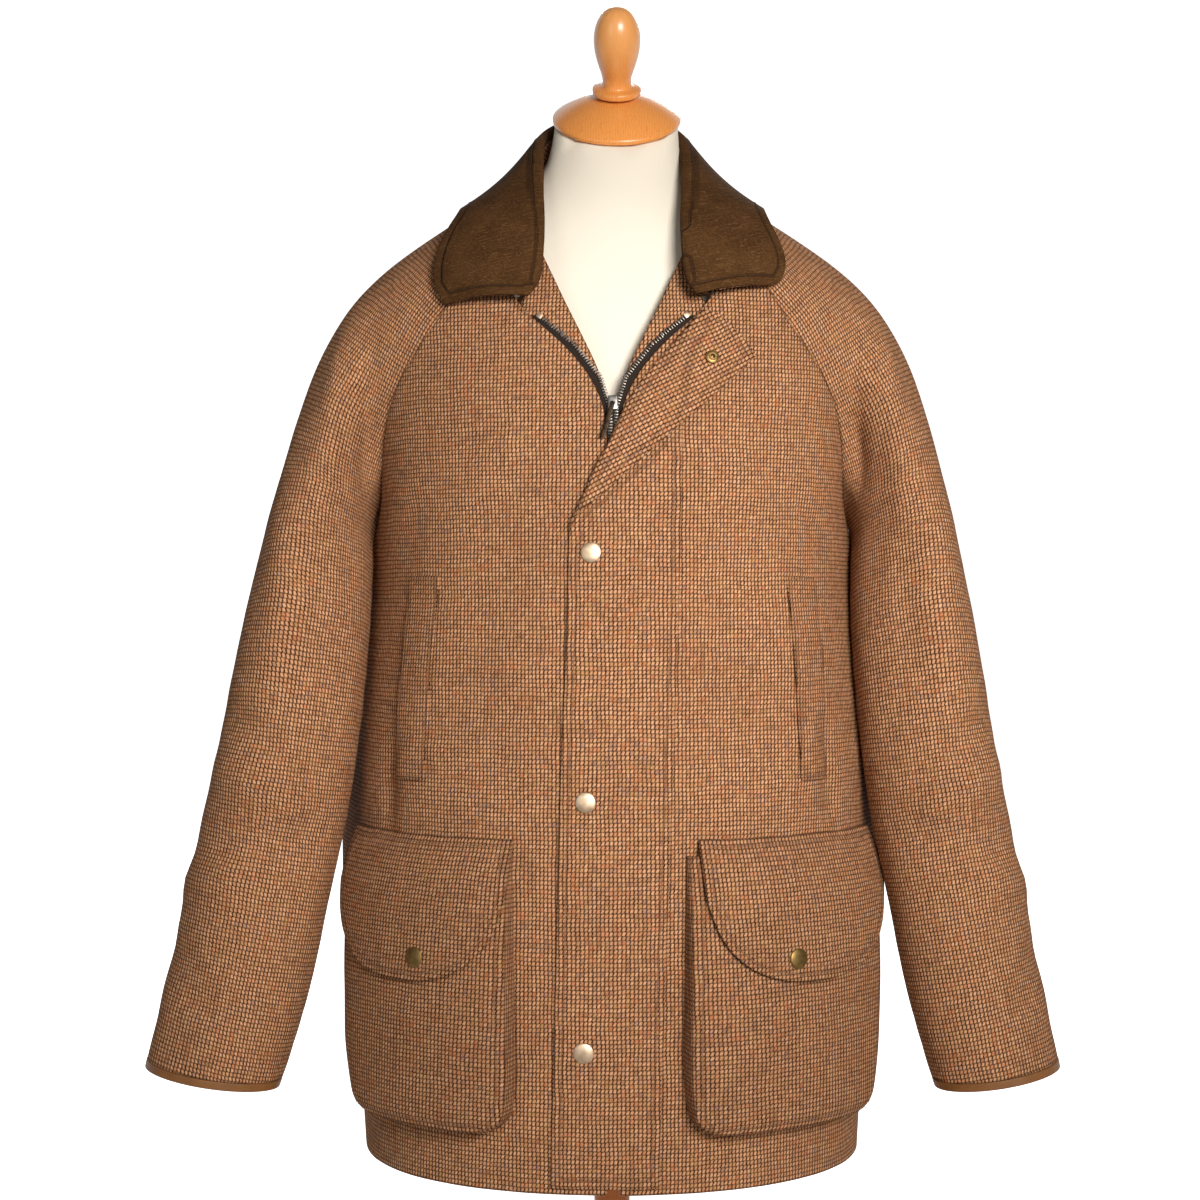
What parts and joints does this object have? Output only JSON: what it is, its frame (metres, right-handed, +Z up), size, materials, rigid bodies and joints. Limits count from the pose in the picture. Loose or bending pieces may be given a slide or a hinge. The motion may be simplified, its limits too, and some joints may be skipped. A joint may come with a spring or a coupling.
{
  "type": "field coat on dress form",
  "caption": "Tweed field coat with raglan sleeves, napped turn-down collar, zip under a snapped storm flap and bellows pockets, worn by a limbless dress form on a round stand.",
  "frame": {"origin": "centre of the underside of the stand's foot", "axes": "+Z up, -Y towards the coat's front, +X towards the coat's left front and left sleeve"},
  "size_m": [0.7329, 0.3442, 1.0574],
  "materials": {
    "tweed": "woven wool, matt",
    "napped_cloth": "brushed, matt",
    "zip_tape": "ribbed tape, matt",
    "leather": "satin",
    "brass": "pale, satin",
    "aged_brass": "aged, satin",
    "zip_metal": "aged, satin",
    "form_cloth": "plain cotton cover, matt",
    "wood": "varnished, satin"
  },
  "bodies": {
    "coat": {"front_left": "tweed", "front_right": "tweed", "back": "tweed", "sleeve_left_front": "tweed", "sleeve_left_back": "tweed", "sleeve_right_front": "tweed", "sleeve_right_back": "tweed", "collar": "napped_cloth", "undercollar": "tweed", "collar_stand": "tweed", "facing_left": "tweed", "facing_right": "tweed", "zip_tape_left": "zip_tape", "zip_tape_right": "zip_tape", "storm_flap": "tweed", "pocket_bag_left": "tweed", "pocket_bag_right": "tweed", "pocket_flap_left": "tweed", "pocket_flap_right": "tweed", "welt_left": "tweed", "welt_right": "tweed", "cuff_binding_left": "leather", "cuff_binding_right": "leather", "snap_front_1": "brass", "snap_front_2": "brass", "snap_front_3": "brass", "snap_socket": "aged_brass", "snap_pocket_left": "aged_brass", "snap_pocket_right": "aged_brass", "zip_slider": "zip_metal", "form_torso": "form_cloth", "neck_cap": "wood", "finial": "wood", "pole": "wood", "foot": "wood"},
    "zip_pull": {"zip_pull": "zip_metal"}
  },
  "joints": [
    {"name": "zip_pull_hinge", "type": "hinge", "parent": "coat", "child": "zip_pull", "pos_m": [0, -0.13744, 0.72179], "axis": [-0.9613, 0.0593, 0.2692], "range_deg": [0, 150]}
  ]
}
